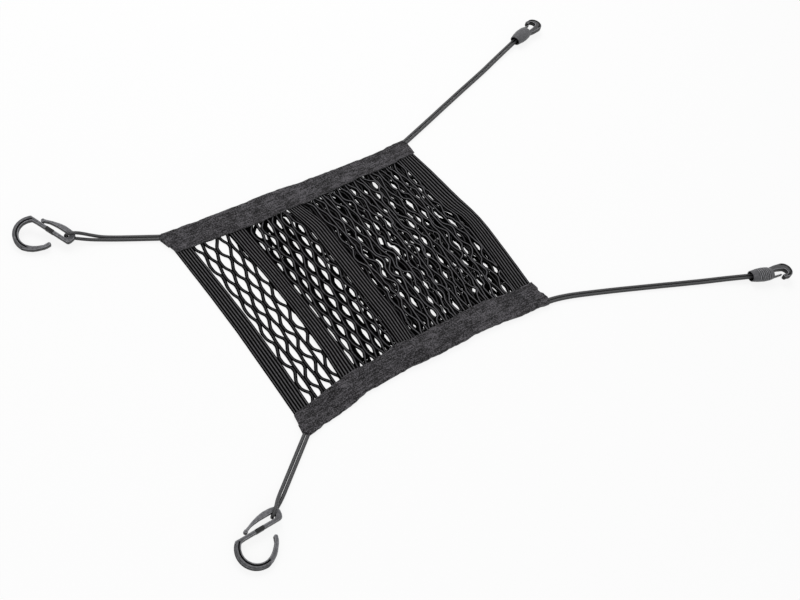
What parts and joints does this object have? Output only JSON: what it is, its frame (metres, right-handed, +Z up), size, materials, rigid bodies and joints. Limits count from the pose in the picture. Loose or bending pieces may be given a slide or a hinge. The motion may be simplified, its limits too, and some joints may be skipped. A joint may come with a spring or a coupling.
{
  "type": "between-seat storage net",
  "caption": "Flat storage net of layered elastic netting between woven edge bands, held at its corners by elastic cords that end in ring hooks and ferrule hooks.",
  "frame": {"origin": "centre of the net panel on the surface that it lies on; cords and hooks aren't counted", "axes": "+X along the edge bands, from the single-layer end to the three-layer end; +Y from the near band to the far band; +Z up"},
  "size_m": [0.6874, 0.4412, 0.0137],
  "materials": {
    "tape": "matt woven tape",
    "ribbed_elastic": "ribbed elastic",
    "net_cord": "knitted cord",
    "elastic_cord": "braided, slightly shiny",
    "hook_plastic": "moulded, matt"
  },
  "bodies": {
    "root": {"band_far": "tape", "band_near": "tape", "strip_1": "ribbed_elastic", "strip_2": "ribbed_elastic", "strip_3": "ribbed_elastic", "strip_4": "ribbed_elastic", "net_back": "net_cord", "net_middle": "net_cord", "net_front": "net_cord", "cord_far_left": "elastic_cord", "cord_near_left": "elastic_cord", "cord_far_right_1": "elastic_cord", "cord_far_right_2": "elastic_cord", "cord_near_right_1": "elastic_cord", "cord_near_right_2": "elastic_cord", "hook_big_far": "hook_plastic", "hook_big_near": "hook_plastic", "hook_small_far": "hook_plastic", "hook_small_near": "hook_plastic"}
  },
  "joints": []
}
